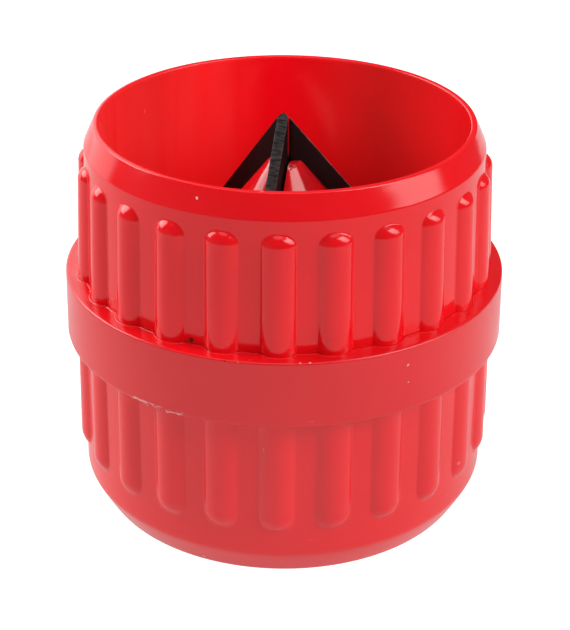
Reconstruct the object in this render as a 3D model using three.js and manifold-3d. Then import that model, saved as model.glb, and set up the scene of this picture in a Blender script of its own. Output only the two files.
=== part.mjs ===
// Inner/outer tube deburring tool: a hand-held plastic drum, ribbed for grip,
// with three steel blades set on edge at 120 degrees. The upper cup carries the
// reaming cone for the inside edge of a tube, the lower cup is the funnel that
// trims the outside edge. Units are millimetres, +Z up, the tool stands on the
// annular foot of its lower shell at Z = 0 and its axis is the Z axis.
import * as THREE from 'three';
import { mergeVertices } from 'three/addons/utils/BufferGeometryUtils.js';
import Module from 'manifold-3d';

const wasm = await Module();
wasm.setup();
const { Manifold, Mesh: SolidMesh } = wasm;

// ---------------------------------------------------------------- dimensions
const GAP = 0.3;                 // clearance kept between neighbouring pieces
const SEG = 72;                  // facets round the drum, three to a rib pitch

const H_TOTAL = 54.23;           // foot to rim
const R_RIM_OUT = 25.33;         // top lip, outside
const R_RIM_IN = 24.55;          // top lip, inside
const Z_SHOULDER = 51.24;        // foot of the conical lead-in under the rim
const R_SHOULDER = 26.75;
const R_WALL_AT_RING = 27.4;     // upper wall between ribs, at the band

const Z_RING_TOP = 33.69;        // plain grip band
const Z_RING_BOTTOM = 24.51;
const R_RING_TOP = 30.0;
const R_RING_BOTTOM = 30.18;
const R_RING_BORE = 27.3;

const Z_JOINT = 29.1;            // shells meet here, under the band
const R_SEAT = R_RING_BORE - GAP;

const R_LOWER_AT_RING = 28.12;   // lower wall between ribs
const R_LOWER_AT_CHAMFER = 28.41;
const Z_CHAMFER = 3.93;
const R_FOOT_OUT = 26.32;
const R_FOOT_IN = 24.8;

const RIBS = 24;
const RIB_PHASE = -1.5;          // degrees from -Y, towards +X
// Ribs: round section sunk in the wall, ball ends. The crests lean with the draft.
const UPPER_RIB = { radius: 2.92, zLow: 33.0, crestLow: 28.5, zHigh: 47.22, crestHigh: 27.86 };
const LOWER_RIB = { radius: 3.25, zLow: 9.75, crestLow: 29.24, zHigh: 25.2, crestHigh: 28.9 };

const BLADE_THICKNESS = 1.6;
const BLADE_AZIMUTH = [-14.65, 105.35, -134.65];
const BLADE_SLOPE = 1.246;       // both long edges fall at 51.3 degrees
const Z_EDGE_UPPER = 55.08;      // inner-reaming edge, carried to the axis
const Z_EDGE_LOWER = 33.5;       // outer-reaming edge, carried to the axis
const R_BLADE_IN = 0.17;         // apex of the mitred inner end
const R_BLADE_OUT = 23.9;

const CONE_SLOPE = 1.265;
const Z_CONE = 50.93;            // reaming cone surface, carried to the axis
const Z_FUNNEL = 37.65;          // funnel surface, carried to the axis
const CORE_WALL = 3.55;          // both cores, measured upright
const R_CONE_FLAT = 2.2;         // truncated top of the reaming cone
const R_CORE_FOOT = 25.6;
const SLOT_WIDTH = BLADE_THICKNESS + 2 * GAP;

const PIN_RADIUS = 1.25;
const PIN_HALF = 3.0;
const R_PIN = 13.0;
const Z_PIN = (Z_CONE - CORE_WALL + Z_FUNNEL + CORE_WALL) / 2 - CONE_SLOPE * R_PIN;

// ------------------------------------------------------------------ helpers
const rad = (deg) => (deg * Math.PI) / 180;

// A closed three.js geometry as a solid, whichever way its faces were wound.
function solid(geometry) {
  const g = geometry.clone();
  g.deleteAttribute('normal');
  g.deleteAttribute('uv');
  const m = mergeVertices(g, 1e-4);
  const pos = m.attributes.position.array;
  const idx = Array.from(m.index.array);
  const tris = [];
  for (let i = 0; i < idx.length; i += 3) {
    const [a, b, c] = [idx[i], idx[i + 1], idx[i + 2]];
    if (a !== b && b !== c && a !== c) tris.push(a, b, c);
  }
  let volume = 0;
  for (let i = 0; i < tris.length; i += 3) {
    const [a, b, c] = [tris[i] * 3, tris[i + 1] * 3, tris[i + 2] * 3];
    volume += pos[a] * (pos[b + 1] * pos[c + 2] - pos[b + 2] * pos[c + 1])
      - pos[a + 1] * (pos[b] * pos[c + 2] - pos[b + 2] * pos[c])
      + pos[a + 2] * (pos[b] * pos[c + 1] - pos[b + 1] * pos[c]);
  }
  if (volume < 0) {
    for (let i = 0; i < tris.length; i += 3) [tris[i], tris[i + 1]] = [tris[i + 1], tris[i]];
  }
  return new Manifold(new SolidMesh({
    numProp: 3,
    vertProperties: Float32Array.from(pos),
    triVerts: Uint32Array.from(tris),
  }));
}

function geometryOf(body) {
  const mesh = body.getMesh();
  const g = new THREE.BufferGeometry();
  g.setAttribute('position', new THREE.BufferAttribute(Float32Array.from(mesh.vertProperties), 3));
  g.setIndex(Array.from(mesh.triVerts));
  const flat = g.toNonIndexed();
  flat.computeVertexNormals();
  return flat;
}

// A ring of the closed (r, z) outline, turned about the Z axis.
function turned(outline, segments = SEG) {
  const points = outline.map(([r, z]) => new THREE.Vector2(r, z));
  points.push(points[0].clone());
  const g = new THREE.LatheGeometry(points, segments, rad(RIB_PHASE));
  g.rotateX(Math.PI / 2);
  return solid(g);
}

// A flat plate of the (r, z) outline standing in the radial plane at an azimuth.
function radialPlate(shape, thickness, azimuthDeg, offset = 0) {
  const g = new THREE.ExtrudeGeometry(shape, { depth: thickness, bevelEnabled: false, curveSegments: 16 });
  g.translate(0, 0, -thickness / 2 + offset);
  const t = rad(azimuthDeg);
  const m = new THREE.Matrix4().makeBasis(
    new THREE.Vector3(Math.sin(t), -Math.cos(t), 0),
    new THREE.Vector3(0, 0, 1),
    new THREE.Vector3(-Math.cos(t), -Math.sin(t), 0),
  );
  g.applyMatrix4(m);
  return solid(g);
}

function plateShape(points) {
  const s = new THREE.Shape();
  s.moveTo(...points[0]);
  for (const p of points.slice(1)) s.lineTo(...p);
  s.closePath();
  return s;
}

// One round rib with ball ends, leaning with the draft of its wall.
function rib(spec, azimuthDeg) {
  const rLow = spec.crestLow - spec.radius;
  const rHigh = spec.crestHigh - spec.radius;
  const length = Math.hypot(spec.zHigh - spec.zLow, rHigh - rLow);
  const g = new THREE.CapsuleGeometry(spec.radius, length, 8, 24);
  g.rotateX(Math.PI / 2);
  g.rotateY(Math.atan2(rHigh - rLow, spec.zHigh - spec.zLow));
  g.translate((rLow + rHigh) / 2, 0, (spec.zLow + spec.zHigh) / 2);
  g.rotateZ(rad(azimuthDeg - 90));
  return solid(g);
}

function ribCrown(spec) {
  let crown = null;
  for (let k = 0; k < RIBS; k += 1) {
    const one = rib(spec, RIB_PHASE + (360 / RIBS) * k);
    crown = crown ? crown.add(one) : one;
  }
  return crown;
}

const group = new THREE.Group();
group.name = 'deburring_tool';

function piece(name, body, color, roughness, metalness) {
  const material = new THREE.MeshStandardMaterial({ color, roughness, metalness });
  const mesh = new THREE.Mesh(geometryOf(body), material);
  mesh.name = name;
  group.add(mesh);
}

// -------------------------------------------------------------- upper shell
// Glossy ribbed wall with a thin lip, and below the joint a skirt that plugs
// into the lower shell and clamps the foot of the reaming cone.
const R_SKIRT_OUT = 25.9;
const Z_SKIRT = 21.5;
const upperWall = turned([
  [24.25, Z_SKIRT], [R_SKIRT_OUT, Z_SKIRT], [R_SKIRT_OUT, Z_JOINT + GAP / 2],
  [R_SEAT, Z_JOINT + GAP / 2], [R_SEAT, Z_RING_TOP + GAP],
  [R_WALL_AT_RING, Z_RING_TOP + GAP], [R_SHOULDER, Z_SHOULDER - 0.15],
  [R_SHOULDER - 0.08, Z_SHOULDER + 0.12],
  [R_RIM_OUT + 0.06, H_TOTAL - 0.16], [R_RIM_OUT - 0.1, H_TOTAL],
  [R_RIM_IN + 0.12, H_TOTAL], [R_RIM_IN, H_TOTAL - 0.14],
]);
const upperBand = turned([
  [26.0, Z_RING_TOP + GAP], [31.0, Z_RING_TOP + GAP], [31.0, Z_SHOULDER], [25.6, Z_SHOULDER],
]);
const upperShell = upperWall.add(ribCrown(UPPER_RIB).intersect(upperBand));

// -------------------------------------------------------------- lower shell
// Satin ribbed wall, chamfered foot, a ledge inside for the funnel core and a
// socket at the top for the skirt of the upper shell.
const lowerWall = turned([
  [R_FOOT_IN, 0], [R_FOOT_OUT, 0], [R_LOWER_AT_CHAMFER, Z_CHAMFER],
  [R_LOWER_AT_RING, Z_RING_BOTTOM - GAP], [R_SEAT, Z_RING_BOTTOM - GAP],
  [R_SEAT, Z_JOINT - GAP / 2], [R_SKIRT_OUT + GAP, Z_JOINT - GAP / 2],
  [R_SKIRT_OUT + GAP, Z_SKIRT - GAP], [R_CORE_FOOT + GAP, Z_SKIRT - GAP],
  [R_CORE_FOOT + GAP, 5.3], [R_FOOT_IN, 5.3],
]);
const lowerBand = turned([
  [26.0, 5.6], [31.0, 5.6], [31.0, Z_RING_BOTTOM - GAP], [26.0, Z_RING_BOTTOM - GAP],
]);
const lowerShell = lowerWall.add(ribCrown(LOWER_RIB).intersect(lowerBand));

// ---------------------------------------------------------------- grip band
const gripRing = turned([
  [R_RING_BORE, Z_RING_BOTTOM], [R_RING_BOTTOM - 0.3, Z_RING_BOTTOM],
  [R_RING_BOTTOM, Z_RING_BOTTOM + 0.3], [R_RING_TOP, Z_RING_TOP - 0.25],
  [R_RING_TOP - 0.25, Z_RING_TOP], [R_RING_BORE, Z_RING_TOP],
]);

// ------------------------------------------------------------- reaming cone
// Hollow truncated cone with an upright skirt, slit three ways for the blades.
const zCone = (r) => Z_CONE - CONE_SLOPE * r;
const zConeUnder = (r) => Z_CONE - CORE_WALL - CONE_SLOPE * r;
const zFunnel = (r) => Z_FUNNEL - CONE_SLOPE * r;
const zFunnelTop = (r) => Z_FUNNEL + CORE_WALL - CONE_SLOPE * r;
const R_SKIRT_BORE = 23.2;
const Z_CORE_SPLIT = 10.2;
const coneBlank = turned([
  [0, zConeUnder(R_CONE_FLAT)], [R_CONE_FLAT, zConeUnder(R_CONE_FLAT)],
  [R_SKIRT_BORE, zConeUnder(R_SKIRT_BORE)], [R_SKIRT_BORE, Z_CORE_SPLIT],
  [R_CORE_FOOT, Z_CORE_SPLIT], [R_CORE_FOOT, 21.2], [23.9, 21.2],
  [23.7, zCone(23.7)], [R_CONE_FLAT + 0.25, zCone(R_CONE_FLAT + 0.25)],
  [R_CONE_FLAT - 0.1, zCone(R_CONE_FLAT) + 0.1], [0, zCone(R_CONE_FLAT) + 0.1],
]);

const slotShape = plateShape([
  [-0.4, 60], [-0.4, 30], [R_BLADE_OUT + GAP, -4], [R_BLADE_OUT + GAP, 60],
]);
let slots = null;
for (const azimuth of BLADE_AZIMUTH) {
  const s = radialPlate(slotShape, SLOT_WIDTH, azimuth);
  slots = slots ? slots.add(s) : s;
}
const reamingCone = coneBlank.subtract(slots);

// ------------------------------------------------------------ reaming funnel
// Funnel core with a foot that rests on the ledge of the lower shell. Pairs of
// upright cheeks straddle each blade and cradle its cross pin.
const Z_FOOT_TOP = Z_CORE_SPLIT - GAP;
const R_FUNNEL_STEP = R_SKIRT_BORE - GAP;
const funnelBlank = turned([
  [0, zFunnel(R_CONE_FLAT)], [R_CONE_FLAT, zFunnel(R_CONE_FLAT)],
  [24.9, zFunnel(24.9)], [24.9, 5.6], [R_CORE_FOOT, 5.6], [R_CORE_FOOT, Z_FOOT_TOP],
  [R_FUNNEL_STEP, Z_FOOT_TOP], [R_FUNNEL_STEP, zFunnelTop(R_FUNNEL_STEP)],
  [R_CONE_FLAT, zFunnelTop(R_CONE_FLAT)], [0, zFunnelTop(R_CONE_FLAT)],
]);
const between = turned([
  [4, zFunnelTop(4) - 1.0], [20, zFunnelTop(20) - 1.0],
  [20, zConeUnder(20) - 0.5], [4, zConeUnder(4) - 0.5],
]);
const cheekShape = plateShape([[R_PIN - 3, 5], [R_PIN + 3, 5], [R_PIN + 3, 45], [R_PIN - 3, 45]]);
let cheeks = null;
const CHEEK = 2.0;
for (const azimuth of BLADE_AZIMUTH) {
  for (const side of [-1, 1]) {
    const c = radialPlate(cheekShape, CHEEK, azimuth, side * (SLOT_WIDTH / 2 + CHEEK / 2));
    cheeks = cheeks ? cheeks.add(c) : c;
  }
}
// Cradle: round under the pin and open towards the cone, so the pin drops in.
const cradleShape = new THREE.Shape();
const PIN_SEAT = PIN_RADIUS + GAP;
{
  const up = new THREE.Vector2(CONE_SLOPE, 1).normalize();
  const along = new THREE.Vector2(1, -CONE_SLOPE).normalize();
  const a0 = Math.atan2(along.y, along.x);
  const c = new THREE.Vector2(R_PIN, Z_PIN);
  const steps = 12;
  for (let i = 0; i <= steps; i += 1) {
    const a = a0 - (Math.PI * i) / steps;
    const p = new THREE.Vector2(c.x + PIN_SEAT * Math.cos(a), c.y + PIN_SEAT * Math.sin(a));
    if (i === 0) cradleShape.moveTo(p.x, p.y); else cradleShape.lineTo(p.x, p.y);
  }
  const left = c.clone().addScaledVector(along, -PIN_SEAT).addScaledVector(up, 6);
  const right = c.clone().addScaledVector(along, PIN_SEAT).addScaledVector(up, 6);
  cradleShape.lineTo(left.x, left.y);
  cradleShape.lineTo(right.x, right.y);
  cradleShape.closePath();
}
let cradles = null;
for (const azimuth of BLADE_AZIMUTH) {
  const c = radialPlate(cradleShape, 2 * PIN_HALF + 2 * GAP + 2, azimuth);
  cradles = cradles ? cradles.add(c) : c;
}
const reamingFunnel = funnelBlank.subtract(slots).add(cheeks.intersect(between).subtract(cradles));

// ------------------------------------------------------------------- blades
// Flat strips of hardened steel. The upper long edge reams the bore, the lower
// long edge trims the outside, and a hole takes the cross pin. The inner ends
// are mitred to 120 degrees, so the three meet at the axis with a fine gap.
const zUpper = (r) => Z_EDGE_UPPER - BLADE_SLOPE * r;
const zLower = (r) => Z_EDGE_LOWER - BLADE_SLOPE * r;
function bladeShape() {
  const s = new THREE.Shape();
  s.moveTo(R_BLADE_IN, zLower(R_BLADE_IN));
  s.lineTo(R_BLADE_OUT, zLower(R_BLADE_OUT));
  s.lineTo(R_BLADE_OUT, zUpper(R_BLADE_OUT));
  s.lineTo(R_BLADE_IN + 0.16, zUpper(R_BLADE_IN + 0.16));
  s.quadraticCurveTo(R_BLADE_IN + 0.02, zUpper(R_BLADE_IN) - 0.03, R_BLADE_IN, zUpper(R_BLADE_IN) - 0.35);
  s.closePath();
  const hole = new THREE.Path();
  hole.absarc(R_PIN, Z_PIN, PIN_RADIUS + GAP, 0, Math.PI * 2, true);
  s.holes.push(hole);
  return s;
}
function mitreWedge(azimuthDeg) {
  const t = rad(azimuthDeg - 90);
  const apex = new THREE.Vector2(Math.cos(t), Math.sin(t)).multiplyScalar(R_BLADE_IN);
  const s = new THREE.Shape();
  s.moveTo(apex.x, apex.y);
  s.lineTo(apex.x + 70 * Math.cos(t - rad(60)), apex.y + 70 * Math.sin(t - rad(60)));
  s.lineTo(apex.x + 70 * Math.cos(t + rad(60)), apex.y + 70 * Math.sin(t + rad(60)));
  s.closePath();
  const g = new THREE.ExtrudeGeometry(s, { depth: 90, bevelEnabled: false });
  g.translate(0, 0, -10);
  return solid(g);
}
const blades = BLADE_AZIMUTH.map((azimuth) => radialPlate(bladeShape(), BLADE_THICKNESS, azimuth).intersect(mitreWedge(azimuth)));

// --------------------------------------------------------------- blade pins
function pin(azimuthDeg) {
  const g = new THREE.CylinderGeometry(PIN_RADIUS, PIN_RADIUS, 2 * PIN_HALF, 20);
  const t = rad(azimuthDeg);
  const m = new THREE.Matrix4().makeBasis(
    new THREE.Vector3(Math.sin(t), -Math.cos(t), 0),
    new THREE.Vector3(Math.cos(t), Math.sin(t), 0),
    new THREE.Vector3(0, 0, 1),
  );
  if (m.determinant() < 0) g.scale(1, 1, -1);
  g.applyMatrix4(m);
  g.translate(R_PIN * Math.sin(t), -R_PIN * Math.cos(t), Z_PIN);
  return solid(g);
}

// ----------------------------------------------------------------- assembly
piece('upper_shell', upperShell, 0xdb2a33, 0.22, 0.0);
piece('lower_shell', lowerShell, 0xcc3038, 0.42, 0.0);
piece('grip_ring', gripRing, 0xcf2f37, 0.4, 0.0);
piece('reaming_cone', reamingCone, 0xd9202a, 0.25, 0.0);
piece('reaming_funnel', reamingFunnel, 0xd02029, 0.35, 0.0);
blades.forEach((body, i) => piece(`blade_${i + 1}`, body, 0x17120f, 0.5, 0.85));
BLADE_AZIMUTH.forEach((azimuth, i) => piece(`blade_pin_${i + 1}`, pin(azimuth), 0x9a9ca0, 0.35, 1.0));

export default group;
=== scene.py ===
# Looks for the inner/outer tube deburring tool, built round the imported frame.
# Everything is in metres in the frame's own axes. Helper lengths below are in
# millimetres and are turned into metres by MM.
import math

import bpy
import bmesh
import numpy as np
from mathutils import Matrix, Vector


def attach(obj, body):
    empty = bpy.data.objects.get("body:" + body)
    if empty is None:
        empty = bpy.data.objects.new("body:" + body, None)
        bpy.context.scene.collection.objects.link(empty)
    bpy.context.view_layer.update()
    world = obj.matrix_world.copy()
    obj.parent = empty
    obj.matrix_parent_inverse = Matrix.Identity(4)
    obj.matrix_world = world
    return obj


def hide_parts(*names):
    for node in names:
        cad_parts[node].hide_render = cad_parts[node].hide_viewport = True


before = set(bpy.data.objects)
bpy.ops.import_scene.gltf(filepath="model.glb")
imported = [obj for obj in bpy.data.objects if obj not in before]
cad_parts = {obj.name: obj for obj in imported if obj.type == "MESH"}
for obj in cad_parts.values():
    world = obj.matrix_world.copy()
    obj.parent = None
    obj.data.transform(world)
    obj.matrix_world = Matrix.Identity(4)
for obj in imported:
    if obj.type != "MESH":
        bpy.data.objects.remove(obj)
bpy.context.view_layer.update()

MM = 0.001
SC = bpy.context.scene

# ------------------------------------------------------------------ dimensions
RIBS, PHASE = 24, math.radians(-1.5)
H_TOTAL, R_RIM_OUT, R_RIM_IN = 54.23, 25.33, 24.55
Z_SHOULDER, R_SHOULDER, R_WALL_AT_RING = 51.24, 26.75, 27.4
Z_RING_TOP, Z_RING_BOT = 33.69, 24.51
BLADE_AZ = [math.radians(a) for a in (-14.65, 105.35, -134.65)]
BLADE_T, BLADE_SLOPE, Z_UP, Z_LO = 1.6, 1.246, 55.08, 33.5
R_BL_IN, R_BL_OUT = 0.17, 23.9
CONE_SLOPE, Z_CONE, Z_FUNNEL, CORE_WALL = 1.265, 50.93, 37.65, 3.55


def new_object(name, verts, faces, smooth=True):
    mesh = bpy.data.meshes.new(name)
    mesh.from_pydata(verts, [], faces)
    mesh.update()
    ob = bpy.data.objects.new(name, mesh)
    SC.collection.objects.link(ob)
    if smooth:
        mesh.polygons.foreach_set("use_smooth", [True] * len(mesh.polygons))
    return ob


def grid_revolve(name, rings):
    """A closed turned skin from rings of points: rings[i] is an (n, 3) array, joined to the next ring, the last to the first."""
    m, n = len(rings), len(rings[0])
    verts = np.concatenate(rings) * MM
    i = np.arange(m)[:, None]
    j = np.arange(n)[None, :]
    a = i * n + j
    b = i * n + (j + 1) % n
    c = ((i + 1) % m) * n + (j + 1) % n
    d = ((i + 1) % m) * n + j
    faces = np.stack([a + 0 * b, b + 0 * a, c, d], axis=-1).reshape(-1, 4)
    return new_object(name, verts.tolist(), faces.tolist())


def polar(r, th, z):
    """th is measured from -Y towards +X."""
    r, th, z = np.broadcast_arrays(r, th, z)
    return np.stack([r * np.sin(th), -r * np.cos(th), z], axis=-1)


def smax(a, b, k):
    h = np.clip(0.5 + 0.5 * (a - b) / k, 0, 1)
    return b + (a - b) * h + k * h * (1 - h)


def smin(a, b, k):
    return -smax(-a, -b, k)


def lerp(x, x0, x1, y0, y1):
    t = np.clip((x - x0) / (x1 - x0), 0, 1)
    return y0 + (y1 - y0) * t


def outward(ob):
    bm = bmesh.new()
    bm.from_mesh(ob.data)
    bmesh.ops.recalc_face_normals(bm, faces=bm.faces)
    if bm.calc_volume(signed=True) < 0:
        bmesh.ops.reverse_faces(bm, faces=bm.faces)
    bm.to_mesh(ob.data)
    bm.free()
    return ob


# columns: fine across a rib's flanks, coarser on its crest and in the valley
RIB_A = math.radians(4.68)                                  # half width of a rib, as an angle
pitch = 2 * math.pi / RIBS
_x = np.array([0.17, 0.33, 0.47, 0.59, 0.69, 0.77, 0.83, 0.88, 0.92, 0.953, 0.98, 1.0, 1.02, 1.05, 1.10, 1.19, 1.34, 1.5]) * RIB_A
off = np.concatenate([-_x[::-1], [0.0], _x, [pitch / 2]])
PER_RIB = len(off)
TH = np.concatenate([PHASE + k * pitch + off for k in range(RIBS)])
D_TH = np.concatenate([off for _ in range(RIBS)])          # angle from the nearest rib's middle


# ----------------------------------------------------------------- upper shell
def upper_wall(z):
    return lerp(z, Z_RING_TOP, Z_SHOULDER, R_WALL_AT_RING, R_SHOULDER)


def rib_height(x, along, half, rise):
    """Height of a rib over its wall: a round section sunk in the wall, with ball ends; below 0 outside its outline."""
    big = (half * half + rise * rise) / (2 * rise)
    d2 = x * x + along * along
    inside = np.sqrt(np.maximum(big * big - np.minimum(d2, half * half), 0)) - (big - rise)
    slope = half / np.sqrt(big * big - half * half)
    return np.where(d2 < half * half, inside, -slope * (np.sqrt(d2) - half))


def upper_rib(z, dth):
    """Outer radius of an upper rib; its top end is a ball, its foot runs into the band."""
    wall = upper_wall(z)
    half = wall * RIB_A
    rise = lerp(z, 33.0, 47.5, 28.52, 27.86) - wall
    z0 = 49.43 - half / 1.3
    return wall + rib_height(wall * dth, np.maximum(z - z0, 0) * 1.3, half, rise)


def upper_radius(z, dth):
    wall = upper_wall(z) + 0 * dth
    return smax(wall, upper_rib(z, dth) * np.ones_like(dth), 0.12)


rings = []
zs = np.concatenate([
    Z_RING_TOP + np.array([-0.14, 0.0, 0.6, 1.4, 3.0]),
    np.linspace(39.0, 46.4, 6),
    np.linspace(46.9, 49.8, 44),
    np.linspace(50.0, Z_SHOULDER - 0.30, 3),
])
rings.append(polar(27.0, TH, Z_RING_TOP - 4.4))
rings.append(polar(27.02, TH, Z_RING_TOP - 0.6))
rings.append(polar(27.05, TH, Z_RING_TOP - 0.16))
for z in zs:
    rings.append(polar(upper_radius(z, D_TH), TH, z))
# shoulder, conical lead-in, lip: edges rounded by a fraction of a millimetre
for r, z in ((R_SHOULDER + 0.012, Z_SHOULDER - 0.16), (R_SHOULDER - 0.012, Z_SHOULDER - 0.05), (R_SHOULDER - 0.055, Z_SHOULDER + 0.06),
             (R_SHOULDER - 0.11, Z_SHOULDER + 0.18), (R_SHOULDER - 0.24, Z_SHOULDER + 0.45),
             (26.1, 52.62), (25.62, 53.62), (R_RIM_OUT + 0.075, H_TOTAL - 0.18), (R_RIM_OUT + 0.03, H_TOTAL - 0.085),
             (R_RIM_OUT - 0.04, H_TOTAL - 0.025), (R_RIM_OUT - 0.13, H_TOTAL), (R_RIM_OUT - 0.3, H_TOTAL), (R_RIM_IN + 0.22, H_TOTAL),
             (R_RIM_IN + 0.12, H_TOTAL - 0.02), (R_RIM_IN + 0.045, H_TOTAL - 0.07), (R_RIM_IN + 0.0, H_TOTAL - 0.16),
             (R_RIM_IN - 0.012, H_TOTAL - 0.6)):
    rings.append(polar(r, TH, z))
for z in np.linspace(52.5, 22.0, 9):
    rings.append(polar(lerp(z, 22.0, H_TOTAL, 24.25, R_RIM_IN - 0.012), TH, z))
rings.append(polar(24.3, TH, 21.55))
rings.append(polar(25.85, TH, 21.55))
rings.append(polar(25.88, TH, 29.2))
upper = outward(grid_revolve("upper_shell_skin", rings))

# ----------------------------------------------------------------- lower shell
Z_CH, R_CH, R_FOOT, R_FOOT_IN = 3.93, 28.41, 26.32, 24.8


def lower_wall(z):
    return lerp(z, Z_CH, Z_RING_BOT, R_CH, 28.12)


def lower_rib(z, dth):
    wall = lower_wall(z)
    half = wall * RIB_A
    rise = lerp(z, 9.75, 25.2, 29.24, 28.90) - wall
    z0 = 7.46 + half
    return wall + rib_height(wall * dth, np.maximum(z0 - z, 0), half, rise)


def lower_radius(z, dth):
    wall = lower_wall(z) + 0 * dth
    return smax(wall, lower_rib(z, dth) * np.ones_like(dth), 0.10)


rings = [polar(R_FOOT_IN + 0.02, TH, 5.35), polar(R_FOOT_IN, TH, 3.0), polar(R_FOOT_IN, TH, 0.35),
         polar(R_FOOT_IN + 0.08, TH, 0.1), polar(R_FOOT_IN + 0.3, TH, 0.0), polar(25.6, TH, 0.0)]
# rounded foot corner, conical chamfer, soft upper edge
for r, z in ((R_FOOT - 0.35, 0.0), (R_FOOT - 0.12, 0.04), (R_FOOT + 0.06, 0.16), (R_FOOT + 0.2, 0.38), (26.9, 1.02), (27.5, 2.12), (28.0, 3.05),
             (R_CH - 0.19, 3.52), (R_CH - 0.09, 3.76), (R_CH - 0.03, 3.98), (R_CH - 0.004, 4.25)):
    rings.append(polar(r, TH, z))
for z in np.concatenate([np.linspace(4.7, 6.9, 4), np.linspace(7.15, 10.6, 44), np.linspace(11.2, 23.9, 8), [24.3, Z_RING_BOT - 0.02]]):
    rings.append(polar(lower_radius(z, D_TH), TH, z))
rings.append(polar(27.02, TH, Z_RING_BOT + 0.02))
rings.append(polar(27.0, TH, 28.8))
rings.append(polar(26.2, TH, 28.8))
rings.append(polar(26.2, TH, 21.3))
rings.append(polar(25.9, TH, 21.2))
rings.append(polar(25.9, TH, 5.4))
lower = outward(grid_revolve("lower_shell_skin", rings))

# ------------------------------------------------------------------- grip band
th = TH


def flash(theta):
    """A thin torn sliver of moulding flash on the lower edge, over a short arc."""
    deg = np.degrees((theta + math.pi) % (2 * math.pi) - math.pi)
    t = np.clip((deg + 41.0) / 17.0, 0, 1)
    env = np.sin(np.pi * t) ** 0.7
    wob = 0.55 + 0.25 * np.sin(deg * 1.9) + 0.2 * np.sin(deg * 4.3 + 1.0)
    return np.where((deg > -41) & (deg < -24), env * wob, 0.0)


fl = flash(th)
ring_pts = []
for r, z in ((27.3, Z_RING_BOT + 0.02), (28.6, Z_RING_BOT), (29.6, Z_RING_BOT), (29.92, Z_RING_BOT + 0.01)):
    ring_pts.append(polar(r, th, z))
ring_pts.append(polar(30.05 + 0.10 * fl, th, Z_RING_BOT + 0.05 - 0.32 * fl))
ring_pts.append(polar(30.13 + 0.06 * fl, th, Z_RING_BOT + 0.14 - 0.18 * fl))
ring_pts.append(polar(30.17 + 0.01 * fl, th, Z_RING_BOT + 0.30))
for z in np.linspace(Z_RING_BOT + 0.7, Z_RING_TOP - 0.6, 10):
    ring_pts.append(polar(lerp(z, Z_RING_BOT, Z_RING_TOP, 30.17, 30.0), th, z))
LEVEL = Z_RING_TOP - 0.10                                     # flat of the band; the step round the wall reaches Z_RING_TOP
for k in range(7):
    t = k / 6 * math.pi / 2
    ring_pts.append(polar(29.72 + 0.28 * math.cos(t), th, LEVEL - 0.28 + 0.28 * math.sin(t)))
ring_pts.append(polar(29.45, th, LEVEL))
foot_line = np.maximum(27.42 + 0.30, upper_wall(Z_RING_TOP) + rib_height(upper_wall(Z_RING_TOP) * D_TH, 0.0, upper_wall(Z_RING_TOP) * RIB_A * 1.16, 1.30) + 0.06)
foot_line = smax(foot_line, 27.42 + 0.22 + 0 * foot_line, 0.15)
deg = np.degrees((th + math.pi) % (2 * math.pi) - math.pi)
lift = 0.30 + 0.70 * np.clip((deg + 108) / 12, 0, 1) * np.clip((-34 - deg) / 12, 0, 1)
for dr, dz in ((0.10, 0.0), (0.045, 0.006), (0.012, 0.03), (0.0, 0.06), (-0.012, 0.082), (-0.035, 0.096), (-0.07, 0.10)):
    ring_pts.append(polar(foot_line + dr, th, LEVEL + dz * lift))
ring_pts.append(polar(27.2, th, LEVEL + 0.10 * lift))
ring_pts.append(polar(27.2, th, LEVEL - 0.3))
grip = outward(grid_revolve("grip_ring_skin", ring_pts))


# --------------------------------------------------------- cores, cut in three
def turned_solid(name, outline, n=288):
    """outline: closed (r, z) loop that may touch the axis; made with spin in bmesh."""
    bm = bmesh.new()
    vs = [bm.verts.new((0.0 if r < 1e-6 else r * MM, 0.0, z * MM)) for r, z in outline]
    es = [bm.edges.new((vs[i], vs[i + 1])) for i in range(len(vs) - 1)]
    if outline[0][0] > 1e-6:
        es.append(bm.edges.new((vs[-1], vs[0])))
    bmesh.ops.spin(bm, geom=vs + es, cent=(0, 0, 0), axis=(0, 0, 1), angle=2 * math.pi, steps=n, use_merge=True)
    bmesh.ops.remove_doubles(bm, verts=bm.verts, dist=1e-7)
    bmesh.ops.recalc_face_normals(bm, faces=bm.faces)
    mesh = bpy.data.meshes.new(name)
    bm.to_mesh(mesh)
    bm.free()
    ob = bpy.data.objects.new(name, mesh)
    SC.collection.objects.link(ob)
    return ob


def prism(name, outline, thickness, azimuth, offset=0.0):
    """A plate of the (r, z) outline standing in the radial plane at an azimuth."""
    bm = bmesh.new()
    ur = Vector((math.sin(azimuth), -math.cos(azimuth), 0))
    un = Vector((math.cos(azimuth), math.sin(azimuth), 0))
    lo = [bm.verts.new((ur * r + Vector((0, 0, z)) + un * (offset - thickness / 2)) * MM) for r, z in outline]
    hi = [bm.verts.new((ur * r + Vector((0, 0, z)) + un * (offset + thickness / 2)) * MM) for r, z in outline]
    k = len(outline)
    bm.faces.new(lo)
    bm.faces.new(list(reversed(hi)))
    for i in range(k):
        bm.faces.new((lo[i], hi[i], hi[(i + 1) % k], lo[(i + 1) % k]))
    bmesh.ops.recalc_face_normals(bm, faces=bm.faces)
    mesh = bpy.data.meshes.new(name)
    bm.to_mesh(mesh)
    bm.free()
    ob = bpy.data.objects.new(name, mesh)
    SC.collection.objects.link(ob)
    return ob


def boolean(ob, other, op):
    m = ob.modifiers.new("b", "BOOLEAN")
    m.operation, m.solver, m.object = op, "EXACT", other
    apply_all(ob)
    bpy.data.objects.remove(other)


def apply_all(ob):
    deps = bpy.context.evaluated_depsgraph_get()
    mesh = bpy.data.meshes.new_from_object(ob.evaluated_get(deps))
    old = ob.data
    ob.modifiers.clear()
    ob.data = mesh
    bpy.data.meshes.remove(old)


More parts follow.
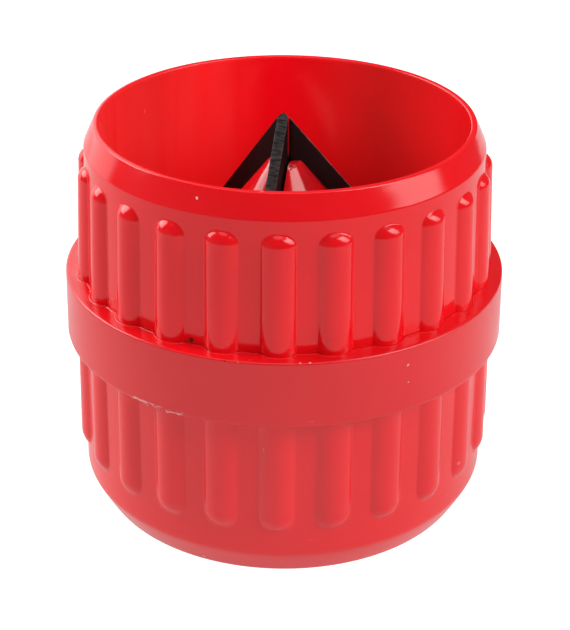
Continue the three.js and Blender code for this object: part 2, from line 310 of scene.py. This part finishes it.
def soften(ob, width, segments=2, angle=28):
    m = ob.modifiers.new("bevel", "BEVEL")
    m.width, m.segments, m.limit_method, m.angle_limit = width * MM, segments, "ANGLE", math.radians(angle)
    m.harden_normals = False
    apply_all(ob)
    ob.data.polygons.foreach_set("use_smooth", [True] * len(ob.data.polygons))
    ob.data.set_sharp_from_angle(angle=math.radians(40))


zc = lambda r: Z_CONE - CONE_SLOPE * r
zcu = lambda r: Z_CONE - CORE_WALL - CONE_SLOPE * r
zf = lambda r: Z_FUNNEL - CONE_SLOPE * r
zft = lambda r: Z_FUNNEL + CORE_WALL - CONE_SLOPE * r
cone = turned_solid("reaming_cone_skin", [
    (0, zcu(2.2)), (2.2, zcu(2.2)), (23.2, zcu(23.2)), (23.2, 10.2), (25.6, 10.2), (25.6, 21.2), (23.9, 21.2), (23.7, zc(23.7)),
    (2.62, zc(2.62)), (2.46, zc(2.46)), (2.3, zc(2.3) - 0.015), (2.1, zc(2.1) - 0.09), (1.9, zc(2.2) + 0.03), (1.5, zc(2.2) + 0.05), (0, zc(2.2) + 0.06)])
funnel = turned_solid("reaming_funnel_skin", [
    (0, zf(2.2)), (2.2, zf(2.2)), (24.9, zf(24.9)), (24.9, 5.6), (25.6, 5.6), (25.6, 9.9), (22.9, 9.9), (22.9, zft(22.9)), (2.2, zft(2.2)), (0, zft(2.2))])
SLOT = BLADE_T + 0.30
for a in BLADE_AZ:
    for core in (cone, funnel):
        boolean(core, prism("cutter", [(-0.45, 60), (-0.45, 30), (24.2, -4), (24.2, 60)], SLOT, a), "DIFFERENCE")
for core in (cone, funnel):
    soften(core, 0.05, 2)


# ---------------------------------------------------------------------- blades
def wedge(name, az):
    """A tall 120 degree wedge opening outwards from a blade's inner apex."""
    bm = bmesh.new()
    flat_pts = [(R_BL_IN, 0.0)] + [(R_BL_IN + 70 * math.cos(s), 70 * math.sin(s)) for s in (math.radians(-60), math.radians(60))]
    ur, un = Vector((math.sin(az), -math.cos(az), 0)), Vector((math.cos(az), math.sin(az), 0))
    lo = [bm.verts.new((ur * x + un * y + Vector((0, 0, -10))) * MM) for x, y in flat_pts]
    hi = [bm.verts.new((ur * x + un * y + Vector((0, 0, 80))) * MM) for x, y in flat_pts]
    bm.faces.new(lo)
    bm.faces.new(list(reversed(hi)))
    for i in range(3):
        bm.faces.new((lo[i], hi[i], hi[(i + 1) % 3], lo[(i + 1) % 3]))
    bmesh.ops.recalc_face_normals(bm, faces=bm.faces)
    mesh = bpy.data.meshes.new(name)
    bm.to_mesh(mesh)
    bm.free()
    ob = bpy.data.objects.new(name, mesh)
    SC.collection.objects.link(ob)
    return ob


def blade(name, az, shift, r_in, mitred, corner, drop=0.0, thick=1.5):
    """A strip on edge. The tip is rounded over the corner length; a mitred end is cut to a 120 degree point in plan."""
    zu = lambda r: Z_UP - drop - BLADE_SLOPE * r
    zl = lambda r: Z_LO - BLADE_SLOPE * r
    tip = []
    for k in range(9):                                       # small round on the tip
        t = k / 8
        p0, p1, p2 = Vector((r_in + corner, zu(r_in + corner))), Vector((r_in + 0.02, zu(r_in) - 0.03)), Vector((r_in, zu(r_in) - 0.1 - 1.6 * corner))
        p = p0 * (1 - t) ** 2 + p1 * 2 * t * (1 - t) + p2 * t * t
        tip.append((p.x, p.y))
    n_edge = 60
    low = [(r_in + (R_BL_OUT - r_in) * i / n_edge, zl(r_in + (R_BL_OUT - r_in) * i / n_edge)) for i in range(n_edge + 1)]
    top = [(R_BL_OUT + (r_in + corner - R_BL_OUT) * i / n_edge, zu(R_BL_OUT + (r_in + corner - R_BL_OUT) * i / n_edge)) for i in range(n_edge)]
    outline = low + top + tip
    ob = prism(name, outline, thick, az, shift)
    if mitred:
        boolean(ob, wedge("mitre", az), "INTERSECT")
    m = ob.modifiers.new("bevel", "BEVEL")
    m.width, m.segments, m.limit_method, m.angle_limit = 0.085 * MM, 2, "ANGLE", math.radians(50)
    apply_all(ob)
    ob.data.polygons.foreach_set("use_smooth", [True] * len(ob.data.polygons))
    ob.data.set_sharp_from_angle(angle=math.radians(38))
    # mark the ground long edges for the material
    ur = Vector((math.sin(az), -math.cos(az), 0))
    slope = Vector((1, -BLADE_SLOPE)).normalized()
    up = Vector((BLADE_SLOPE, 1)).normalized()
    un = Vector((math.cos(az), math.sin(az), 0))
    mask = ob.data.color_attributes.new("ground", "FLOAT_COLOR", "CORNER")
    along = ob.data.attributes.new("along", "FLOAT", "POINT")
    across = ob.data.attributes.new("across", "FLOAT", "POINT")
    for v in ob.data.vertices:
        co = v.co / MM
        r = co.dot(ur)
        along.data[v.index].value = Vector((r, co.z)).dot(slope)
        across.data[v.index].value = co.dot(un)
    for poly in ob.data.polygons:
        n2 = Vector((poly.normal.dot(ur), poly.normal.z))
        g = 1.0 if abs(n2.dot(up)) > 0.80 else (0.75 if abs(n2.dot(up)) > 0.3 and n2.length < 0.99 else 0.0)
        if poly.normal.dot(ur) < -0.2 and g < 0.5 and abs(poly.normal.dot(un)) < 0.6:
            g = 0.0
        if 0.25 < abs(poly.normal.dot(un)) < 0.97 and n2.dot(up) > 0.15:
            g = 2.0                                          # the fine ground bevel along the upper edge
        for li in poly.loop_indices:
            mask.data[li].color = (g, g, g, 1)
    return ob


blades = [blade("blade_skin_1", BLADE_AZ[0], -0.15, R_BL_IN, True, 0.20, 0.0, 1.42), blade("blade_skin_2", BLADE_AZ[1], 0.0, 0.66, False, 0.32, 0.22),
          blade("blade_skin_3", BLADE_AZ[2], 0.0, R_BL_IN, True, 0.16)]

# -------------------------------------------------------- rides and swaps
SWAPS = [(upper, "upper_shell", "shell_gloss"), (lower, "lower_shell", "shell_satin"), (grip, "grip_ring", "ring_satin"),
         (cone, "reaming_cone", "cone_gloss"), (funnel, "reaming_funnel", "funnel_satin")]
SWAPS += [(b, f"blade_{i + 1}", "blade_steel") for i, b in enumerate(blades)]
for ob, node, slot in SWAPS:
    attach(ob, "root")
    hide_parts(node)


# ------------------------------------------------------------------- materials
class Nodes:
    def __init__(self, name):
        self.m = bpy.data.materials.new(name)
        self.m.use_nodes = True
        self.t = self.m.node_tree
        self.t.nodes.clear()
        self.out = self.add("ShaderNodeOutputMaterial")
        self.p = self.add("ShaderNodeBsdfPrincipled")
        self.link(self.p.outputs["BSDF"], self.out.inputs["Surface"])
        self.co = self.add("ShaderNodeTexCoord").outputs["Object"]

    def add(self, kind, **props):
        n = self.t.nodes.new(kind)
        for k, v in props.items():
            setattr(n, k, v)
        return n

    def link(self, a, b):
        self.t.links.new(a, b)

    def put(self, socket, value):
        if isinstance(value, bpy.types.NodeSocket):
            self.link(value, socket)
        else:
            socket.default_value = value

    def noise(self, scale, detail=3.0, rough=0.5, vec=None, lacunarity=2.0):
        n = self.add("ShaderNodeTexNoise")
        n.inputs["Scale"].default_value = scale
        n.inputs["Detail"].default_value = detail
        n.inputs["Roughness"].default_value = rough
        n.inputs["Lacunarity"].default_value = lacunarity
        self.link(vec or self.co, n.inputs["Vector"])
        return n.outputs["Fac"]

    def scaled(self, x, y, z, vec=None):
        n = self.add("ShaderNodeMapping")
        n.inputs["Scale"].default_value = (x, y, z)
        self.link(vec or self.co, n.inputs["Vector"])
        return n.outputs["Vector"]

    def voronoi(self, scale, vec=None, feature="F1", rnd=1.0):
        n = self.add("ShaderNodeTexVoronoi", feature=feature)
        n.inputs["Scale"].default_value = scale
        n.inputs["Randomness"].default_value = rnd
        self.link(vec or self.co, n.inputs["Vector"])
        return n

    def ramp(self, fac, lo, hi, a=0.0, b=1.0, smooth=True):
        n = self.add("ShaderNodeMapRange", interpolation_type="SMOOTHSTEP" if smooth else "LINEAR")
        n.inputs["From Min"].default_value, n.inputs["From Max"].default_value = lo, hi
        n.inputs["To Min"].default_value, n.inputs["To Max"].default_value = a, b
        self.link(fac, n.inputs["Value"])
        return n.outputs["Result"]

    def math(self, op, a, b=0.0, c=0.0):
        n = self.add("ShaderNodeMath", operation=op)
        for i, v in enumerate((a, b, c)):
            self.put(n.inputs[i], v)
        return n.outputs[0]

    def mix(self, fac, a, b):
        n = self.add("ShaderNodeMix", data_type="RGBA")
        self.put(n.inputs[0], fac)
        for s, v in ((n.inputs[6], a), (n.inputs[7], b)):
            if isinstance(v, bpy.types.NodeSocket):
                self.link(v, s)
            else:
                s.default_value = (*v, 1)
        return n.outputs[2]

    def bump(self, height, strength, distance, normal=None):
        n = self.add("ShaderNodeBump")
        n.inputs["Strength"].default_value = strength
        n.inputs["Distance"].default_value = distance
        self.link(height, n.inputs["Height"])
        if normal is not None:
            self.link(normal, n.inputs["Normal"])
        return n.outputs["Normal"]


def spots(m, colour, places, height):
    """Single marks at places (x, y, z in mm, radius in mm, colour, raised); returns the new colour and height."""
    warp = m.add("ShaderNodeVectorMath", operation="MULTIPLY_ADD")
    n = m.add("ShaderNodeTexNoise")
    n.inputs["Scale"].default_value = 1500
    m.link(m.co, n.inputs["Vector"])
    m.link(n.outputs["Color"], warp.inputs[0])
    warp.inputs[1].default_value = (0.0004, 0.0004, 0.0004)
    m.link(m.co, warp.inputs[2])
    for x, y, z, radius, tint, raised in places:
        d = m.add("ShaderNodeVectorMath", operation="DISTANCE")
        m.link(warp.outputs[0], d.inputs[0])
        d.inputs[1].default_value = (x * MM + 0.0002, y * MM + 0.0002, z * MM + 0.0002)
        mask = m.ramp(d.outputs["Value"], radius * 0.55 * MM, radius * 1.1 * MM, 1.0, 0.0)
        colour = m.mix(m.math("MULTIPLY", mask, 0.9), colour, tint)
        height = m.math("ADD", height, m.math("MULTIPLY", mask, raised))
    return colour, height


def plastic(name, base, deep, pale, rough_lo, rough_hi, grain, wobble, specks=1.0, scuffs=0.5, sss=0.0, places=(), spec=0.5, extra=None):
    """Pigmented moulded plastic: slow pigment drift, faint flow lines, fine specks and hairline scuffs, a slightly uneven skin."""
    m = Nodes(name)
    drift = m.noise(45, 4, 0.55)
    flow = m.noise(60, 3, 0.5, m.scaled(1, 1, 0.16))
    c = m.mix(m.ramp(drift, 0.35, 0.7), base, deep)
    c = m.mix(m.math("MULTIPLY", m.ramp(flow, 0.52, 0.75), 0.35), c, pale)
    # small moulding specks and nicks
    vor = m.voronoi(240)
    sz = m.noise(320, 2)
    dot = m.math("MULTIPLY", m.ramp(vor.outputs["Distance"], 0.03, 0.10, 1.0, 0.0), m.ramp(sz, 0.60, 0.66))
    c = m.mix(m.math("MULTIPLY", dot, 0.5 * specks), c, (0.92, 0.30, 0.30))
    # hairline scuffs, mostly round the drum
    sc = m.noise(900, 2, 0.6, m.scaled(0.22, 0.22, 2.6))
    hair = m.math("MULTIPLY", m.ramp(sc, 0.66, 0.72), m.ramp(m.noise(70, 2), 0.5, 0.64))
    lump = m.math("MULTIPLY", dot, 1.0)
    if places:
        c, lump = spots(m, c, places, lump)
    if extra:
        c = extra(m, c)
    m.put(m.p.inputs["Base Color"], c)
    m.p.inputs["Specular IOR Level"].default_value = spec
    r = m.math("ADD", m.ramp(m.noise(110, 5, 0.6), 0.3, 0.75, rough_lo, rough_hi), m.math("MULTIPLY", hair, 0.22 * scuffs))
    r = m.math("ADD", r, m.math("MULTIPLY", dot, 0.15))
    m.put(m.p.inputs["Roughness"], r)
    slow = m.bump(m.noise(110, 2, 0.5), 1.0, wobble)
    fine = m.bump(m.noise(2600, 3, 0.6), 1.0, grain, slow)
    nick = m.bump(m.math("ADD", lump, m.math("MULTIPLY", hair, -0.25 * scuffs)), 0.6, 0.00006, fine)
    m.put(m.p.inputs["Normal"], nick)
    m.p.inputs["IOR"].default_value = 1.46
    if sss:
        m.p.inputs["Subsurface Weight"].default_value = sss
        m.p.inputs["Subsurface Radius"].default_value = (1.0, 0.12, 0.08)
        m.p.inputs["Subsurface Scale"].default_value = 0.0012
    return m.m


RED = (0.95, 0.005, 0.011)
RED_D = (0.90, 0.004, 0.009)
RED_P = (0.96, 0.016, 0.020)
PALE = (0.95, 0.50, 0.46)
DARK = (0.30, 0.004, 0.006)
# near-black spot colour, used for one small sunk spot at the foot of the upper wall beside the band
NEAR_BLACK = (0.020, 0.022, 0.014)


def split(m):
    n = m.add("ShaderNodeSeparateXYZ")
    m.link(m.co, n.inputs[0])
    return n.outputs["X"], n.outputs["Y"], n.outputs["Z"]


def painted_inner_light(m, c):
    """Painted light: red emission on the cup's inner wall, strongest at the back, weaker on the left and rising towards
    the top, stands in for light inside the cup; a faint pale emission in streaks on the left and right is a painted
    sheen.
    """
    x, y, z = split(m)
    rad = m.math("SQRT", m.math("ADD", m.math("MULTIPLY", x, x), m.math("MULTIPLY", y, y)))
    inside = m.math("MULTIPLY", m.ramp(rad, 24.62 * MM, 24.68 * MM, 1.0, 0.0), m.ramp(z, 34 * MM, 48 * MM, 0.3, 1.0))

    def toward(dx, dy, lo, hi):
        d = m.math("DIVIDE", m.math("ADD", m.math("MULTIPLY", x, dx), m.math("MULTIPLY", y, dy)), rad)
        return m.ramp(d, lo, hi)
    back = toward(-0.12, 0.993, 0.72, 0.99)
    left = toward(-0.83, 0.56, 0.62, 0.92)
    right = toward(0.72, 0.69, 0.70, 0.98)
    # painted sheen: faint pale emission in streaks on the left of the inner wall and evenly on the right
    sheen_streaks = m.ramp(m.noise(330, 2, 0.5, m.scaled(1, 1, 0.08)), 0.35, 0.65, 0.7, 1.2)
    painted_sheen = m.math("ADD", m.math("MULTIPLY", m.math("MULTIPLY", left, sheen_streaks), 0.0135), m.math("MULTIPLY", right, 0.007))
    # red: painted light, strong at the back of the inner wall and weak on the left; green and blue: the painted sheen
    comb = m.add("ShaderNodeCombineXYZ")
    m.link(m.math("MULTIPLY", inside, m.math("ADD", m.math("MULTIPLY", back, 0.21), m.math("MULTIPLY", left, 0.05))), comb.inputs[0])
    m.link(m.math("MULTIPLY", inside, painted_sheen), comb.inputs[1])
    m.link(m.math("MULTIPLY", inside, m.math("ADD", m.math("MULTIPLY", painted_sheen, 0.8), m.math("MULTIPLY", back, 0.002))), comb.inputs[2])
    m.link(comb.outputs[0], m.p.inputs["Emission Color"])
    m.p.inputs["Emission Strength"].default_value = 1.0
    return c


def painted_side_shade(m, c):
    """Painted shade: the cone's red turns darker towards +X, standing in for the dimmer light on that side."""
    x, y, z = split(m)
    return m.mix(m.ramp(x, 0.2 * MM, 3.4 * MM), c, (0.42, 0.004, 0.008))


def torn(m, c):
    """Whitened plastic along the torn sliver of flash on the lower edge."""
    x, y, z = split(m)
    th = m.math("MULTIPLY", m.math("ARCTAN2", x, m.math("MULTIPLY", y, -1.0)), 180 / math.pi)
    arc = m.math("MULTIPLY", m.ramp(th, -42.0, -39.0), m.ramp(th, -26.0, -24.0, 1.0, 0.0))
    zone = m.math("MULTIPLY", arc, m.ramp(z, 24.75 * MM, 25.15 * MM, 1.0, 0.0))
    frayed = m.ramp(m.noise(1500, 4, 0.7, m.scaled(0.5, 0.5, 2.0)), 0.46, 0.58)
    c = m.mix(m.math("MULTIPLY", m.math("MULTIPLY", zone, frayed), 0.85), c, (0.96, 0.42, 0.40))
    fine = m.math("MULTIPLY", m.math("MULTIPLY", m.ramp(th, -40.0, -37.0), m.ramp(th, -30.0, -27.0, 1.0, 0.0)),
                  m.math("MULTIPLY", m.ramp(z, 25.0 * MM, 26.6 * MM, 1.0, 0.0), m.ramp(m.noise(2400, 3, 0.7, m.scaled(1.6, 1.6, 0.4)), 0.60, 0.66)))
    return m.mix(m.math("MULTIPLY", fine, 0.6), c, (0.45, 0.003, 0.008))


# its last argument paints light and a sheen onto the cup's inner wall as emission
gloss = plastic("red_gloss", RED, RED_D, RED_P, 0.10, 0.16, 0.0000005, 0.00003, 1.0, 0.25, 0.0,
                ((-10.5, -23.79, 52.87, 0.14, (1.0, 0.80, 0.75), 1.5), (-11.85, -24.93, 42.71, 0.20, PALE, 1.5), (-12.77, -25.14, 39.37, 0.16, PALE, 1.5),
                 (-11.55, -24.9, 34.05, 0.42, NEAR_BLACK, -1.0), (7.4, -23.6, 42.0, 0.10, DARK, 0.5), (-3.0, -24.4, 53.3, 0.10, PALE, 1.0)), 0.58, painted_inner_light)
satin = plastic("red_satin", (0.93, 0.005, 0.011), (0.88, 0.004, 0.009), (0.94, 0.016, 0.020), 0.17, 0.24, 0.0000014, 0.000035, 1.0, 0.3, 0.0,
                ((-13.26, -25.68, 17.89, 0.18, PALE, 1.5), (-11.37, -26.57, 19.54, 0.15, PALE, 1.5), (-18.9, -21.8, 15.9, 0.22, DARK, -1.0),
                 (-18.4, -22.2, 15.2, 0.16, DARK, -1.0), (-19.86, -20.44, 11.45, 0.14, PALE, 1.0)), 0.78)
ringm = plastic("red_ring", (0.84, 0.005, 0.011), (0.80, 0.004, 0.009), (0.86, 0.016, 0.020), 0.20, 0.27, 0.0000016, 0.000035, 1.0, 0.12, 0.0,
                ((-7.17, -29.13, 33.49, 0.16, DARK, -1.0), (-5.57, -29.5, 33.5, 0.14, PALE, 1.5), (-4.59, -29.65, 33.55, 0.12, PALE, 1.5),
                 (15.55, -25.66, 31.11, 0.22, PALE, 1.5), (15.65, -25.59, 28.62, 0.14, PALE, 1.2), (-25.76, -15.38, 27.52, 0.14, DARK, -1.0),
                 (-27.0, -13.1, 30.5, 0.10, DARK, -1.0), (-25.68, -10.96, 33.6, 0.16, PALE, 1.5), (1.99, -29.7, 33.6, 0.15, PALE, 1.0),
                 (3.2, -29.6, 33.6, 0.18, PALE, 1.0)), 0.74, torn)
# painted shade: the cone's red is set darker than the shells' red; its last argument darkens the +X side further
conem = plastic("red_cone", (0.74, 0.006, 0.011), (0.70, 0.005, 0.009), (0.76, 0.016, 0.020), 0.07, 0.11, 0.0000006, 0.00003, 0.8, 0.4, 0.0,
                ((0.75, -2.3, 47.9, 0.36, (0.16, 0.002, 0.004), -2.0), (1.40, -2.05, 48.0, 0.30, (0.20, 0.002, 0.004), -2.0), (0.55, -2.42, 47.8, 0.14, PALE, 2.0)), 0.5, painted_side_shade)
funm = plastic("red_funnel", RED, RED_D, RED_P, 0.24, 0.34, 0.000002, 0.00005, 0.8, 0.6)


CHIP = (0.00121, 0.00175, 0.04884)                  # a small bright nick on the front blade's edge


def blade_material():
    m = Nodes("blade_black_oxide")
    attr = m.add("ShaderNodeAttribute", attribute_name="ground")
    along = m.add("ShaderNodeAttribute", attribute_name="along").outputs["Fac"]
    across = m.add("ShaderNodeAttribute", attribute_name="across").outputs["Fac"]
    g = attr.outputs["Fac"]
    # transverse grinding marks: fast along the edge, slow across it
    comb = m.add("ShaderNodeCombineXYZ")
    m.link(along, comb.inputs[0])
    m.link(m.math("MULTIPLY", across, 0.22), comb.inputs[1])
    marks = m.noise(2.4, 4, 0.65, comb.outputs[0])
    fine = m.noise(9.0, 3, 0.6, comb.outputs[0])
    face = m.noise(260, 4, 0.6)
    dark = m.mix(m.ramp(face, 0.4, 0.72), (0.0032, 0.0014, 0.0018), (0.0065, 0.0032, 0.0038))
    steel = m.mix(m.ramp(marks, 0.36, 0.66), (0.030, 0.028, 0.028), (0.105, 0.098, 0.095))
    steel = m.mix(m.math("MULTIPLY", m.ramp(fine, 0.6, 0.75), 0.5), steel, (0.17, 0.16, 0.155))
    col = m.mix(m.math("MINIMUM", g, 1.0), dark, steel)
    # the fine ground bevel is lighter steel tinted pink: the light steel is the bare ground metal, the pink tint is a
    # painted reflection of the red body
    bevel_steel_and_sheen = m.math("MULTIPLY", m.ramp(g, 1.2, 1.8), m.ramp(m.noise(700, 3, 0.6), 0.38, 0.58, 0.25, 1.0))
    col = m.mix(bevel_steel_and_sheen, col, (0.34, 0.29, 0.29))
    d = m.add("ShaderNodeVectorMath", operation="DISTANCE")
    m.link(m.co, d.inputs[0])
    d.inputs[1].default_value = CHIP
    col = m.mix(m.ramp(d.outputs["Value"], 0.10 * MM, 0.20 * MM, 1.0, 0.0), col, (0.75, 0.70, 0.70))
    m.put(m.p.inputs["Base Color"], col)
    m.p.inputs["Specular IOR Level"].default_value = 0.16
    g = m.math("MINIMUM", g, 1.0)
    m.put(m.p.inputs["Metallic"], m.math("MULTIPLY", g, 0.85))
    m.put(m.p.inputs["Roughness"], m.math("ADD", m.math("MULTIPLY", g, -0.10), m.ramp(face, 0.3, 0.7, 0.50, 0.62)))
    h = m.math("ADD", m.math("MULTIPLY", m.math("MULTIPLY", marks, g), 1.0), m.math("MULTIPLY", face, 0.12))
    m.put(m.p.inputs["Normal"], m.bump(h, 0.8, 0.00008))
    return m.m


def steel_material():
    m = Nodes("pin_steel")
    n = m.noise(500, 4, 0.6, m.scaled(1, 1, 0.3))
    m.put(m.p.inputs["Base Color"], m.mix(m.ramp(n, 0.35, 0.7), (0.36, 0.36, 0.37), (0.55, 0.55, 0.56)))
    m.p.inputs["Metallic"].default_value = 1.0
    m.put(m.p.inputs["Roughness"], m.ramp(n, 0.3, 0.7, 0.26, 0.42))
    m.put(m.p.inputs["Normal"], m.bump(n, 0.3, 0.00002))
    return m.m


bl = blade_material()
st = steel_material()
for ob, mat in ((upper, gloss), (lower, satin), (grip, ringm), (cone, conem), (funnel, funm), *((b, bl) for b in blades)):
    ob.data.materials.clear()
    ob.data.materials.append(mat)
for i in (1, 2, 3):
    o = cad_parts[f"blade_pin_{i}"]
    for s in o.material_slots:
        s.material = st

# ------------------------------------------------------------------ floor, sky
def floor_material():
    m = Nodes("floor_white")
    m.put(m.p.inputs["Base Color"], m.mix(m.ramp(m.noise(3, 2), 0.3, 0.7), (0.27, 0.27, 0.27), (0.25, 0.25, 0.25)))
    m.p.inputs["Roughness"].default_value = 0.75
    m.p.inputs["Specular IOR Level"].default_value = 0.1
    m.p.inputs["Emission Color"].default_value = (1, 1, 1, 1)
    seen_direct = m.add("ShaderNodeLightPath").outputs["Is Camera Ray"]
    m.put(m.p.inputs["Emission Strength"], m.math("ADD", m.math("MULTIPLY", seen_direct, 0.52), 0.53))
    return m.m


bm = bmesh.new()
R_FLOOR = 0.42
segs = 64
c0 = bm.verts.new((0, 0, 0))
outer = [bm.verts.new((R_FLOOR * math.cos(2 * math.pi * i / segs), R_FLOOR * math.sin(2 * math.pi * i / segs), 0)) for i in range(segs)]
for i in range(segs):
    bm.faces.new((c0, outer[i], outer[(i + 1) % segs]))
mesh = bpy.data.meshes.new("floor")
bm.to_mesh(mesh)
bm.free()
floor = bpy.data.objects.new("floor", mesh)
SC.collection.objects.link(floor)
floor.data.materials.append(floor_material())

world = bpy.data.worlds.new("studio")
SC.world = world
world.use_nodes = True
wt = world.node_tree
wt.nodes.clear()


def wnode(kind, **props):
    n = wt.nodes.new(kind)
    for k, v in props.items():
        setattr(n, k, v)
    return n


def wmath(op, a, b=0.0):
    n = wnode("ShaderNodeMath", operation=op)
    for sock, v in zip(n.inputs, (a, b)):
        if isinstance(v, bpy.types.NodeSocket):
            wt.links.new(v, sock)
        else:
            sock.default_value = v
    return n.outputs[0]


def wramp(v, lo, hi, a, b):
    n = wnode("ShaderNodeMapRange", interpolation_type="SMOOTHSTEP")
    wt.links.new(v, n.inputs["Value"])
    for key, val in (("From Min", lo), ("From Max", hi), ("To Min", a), ("To Max", b)):
        n.inputs[key].default_value = val
    return n.outputs["Result"]


def band(v, lo0, lo1, hi0, hi1):
    """1 between lo1 and hi0, fading to 0 at lo0 and hi1."""
    return wmath("MULTIPLY", wramp(v, lo0, lo1, 0.0, 1.0), wramp(v, hi0, hi1, 1.0, 0.0))


# Azimuth in degrees, 0 to the front and + to the right, and elevation in degrees.
sep = wnode("ShaderNodeSeparateXYZ")
wt.links.new(wnode("ShaderNodeTexCoord").outputs["Generated"], sep.inputs[0])
az_deg = wmath("MULTIPLY", wmath("ARCTAN2", sep.outputs["X"], wmath("MULTIPLY", sep.outputs["Y"], -1.0)), 180 / math.pi)
el_deg = wmath("MULTIPLY", wmath("ARCSINE", sep.outputs["Z"]), 180 / math.pi)
az_left = wmath("SUBTRACT", az_deg, wmath("MULTIPLY", wmath("GREATER_THAN", az_deg, 0.0), 360.0))     # -360 .. 0
ROOM, SWEEP, LEFT, RIGHT, CEIL = 0.10, 1.35, 5.0, 3.2, 1.2
diffuse_ray = wnode("ShaderNodeLightPath").outputs["Is Diffuse Ray"]
# a white sweep behind and to the left
sweep = wmath("MULTIPLY", band(az_left, -176.5, -171.5, -114.0, -107.0), wramp(el_deg, 34.0, 46.0, SWEEP, 0.0))
# soft boxes on the left and on the right, the right one leaning in over the table
left = wmath("MULTIPLY", band(az_left, -134.0, -126.0, -93.0, -86.0), wmath("MULTIPLY", band(el_deg, 13.5, 18.0, 46.0, 54.0), LEFT))
lean_l = wmath("ADD", az_deg, wmath("MULTIPLY", el_deg, 0.85))
lean_r = wmath("ADD", az_deg, wmath("MULTIPLY", el_deg, 0.40))
right = wmath("MULTIPLY", wmath("MULTIPLY", wramp(lean_l, 76.0, 83.0, 0.0, 1.0), wramp(lean_r, 97.0, 104.0, 1.0, 0.0)),
              wmath("MULTIPLY", band(el_deg, 7.0, 11.0, 50.0, 58.0), wramp(el_deg, 14.0, 42.0, RIGHT, RIGHT * 2.0)))
right = wmath("MULTIPLY", right, wmath("SUBTRACT", 1.0, wmath("MULTIPLY", diffuse_ray, 0.20)))
left = wmath("MULTIPLY", left, wmath("ADD", 1.0, wmath("MULTIPLY", diffuse_ray, 0.25)))
ceiling = wramp(el_deg, 60.0, 70.0, 0.0, CEIL)
# weak fill from the front left
fill = wmath("MULTIPLY", band(az_left, -125.0, -95.0, -45.0, -5.0), wramp(el_deg, 12.0, 32.0, 0.13, 0.0))
room = wmath("ADD", wmath("ADD", wmath("ADD", sweep, left), wmath("ADD", right, ceiling)), wmath("ADD", fill, wmath("ADD", ROOM, wmath("MULTIPLY", diffuse_ray, 0.17))))
seen = wnode("ShaderNodeBackground")
seen.inputs["Color"].default_value = (1, 1, 1, 1)
seen.inputs["Strength"].default_value = 1.0
lit = wnode("ShaderNodeBackground")
lit.inputs["Color"].default_value = (1, 1, 1, 1)
wt.links.new(room, lit.inputs["Strength"])
path = wnode("ShaderNodeLightPath")
both = wnode("ShaderNodeMixShader")
wt.links.new(path.outputs["Is Camera Ray"], both.inputs[0])
wt.links.new(lit.outputs[0], both.inputs[1])
wt.links.new(seen.outputs[0], both.inputs[2])
wt.links.new(both.outputs[0], wnode("ShaderNodeOutputWorld").inputs["Surface"])

# ---------------------------------------------------------------------- camera
U = 30.0 * MM
F_PX, DIST, ELEV, ROLL, CX, CY, ZC = 1606.517, 7.5 * U, 0.47404, 0.00626, 284.019, 293.332, 0.93 * U
cam_data = bpy.data.cameras.new("camera")
cam = bpy.data.objects.new("camera", cam_data)
SC.collection.objects.link(cam)
SC.camera = cam
cam_data.sensor_fit = "AUTO"
cam_data.sensor_width = 36.0
cam_data.lens = F_PX * 36.0 / 630.0
cam_data.shift_x = (285.0 - CX) / 630.0
cam_data.shift_y = -(315.0 - CY) / 630.0
cam_data.clip_start, cam_data.clip_end = 0.01, 20
pos = Vector((0, -DIST * math.cos(ELEV), ZC + DIST * math.sin(ELEV)))
back = (pos - Vector((0, 0, ZC))).normalized()
right = Vector((1, 0, 0))
upv = back.cross(right)
rot = Matrix((right, upv, back)).transposed()
rot = rot @ Matrix.Rotation(ROLL, 3, "Z")
cam.matrix_world = Matrix.Translation(pos) @ rot.to_4x4()
cam_data.dof.use_dof = False

SC.view_settings.view_transform = "Standard"
SC.view_settings.look = "None"
SC.view_settings.exposure = 0.0
SC.view_settings.gamma = 1.0
SC.cycles.max_bounces = 12
SC.cycles.diffuse_bounces = 6
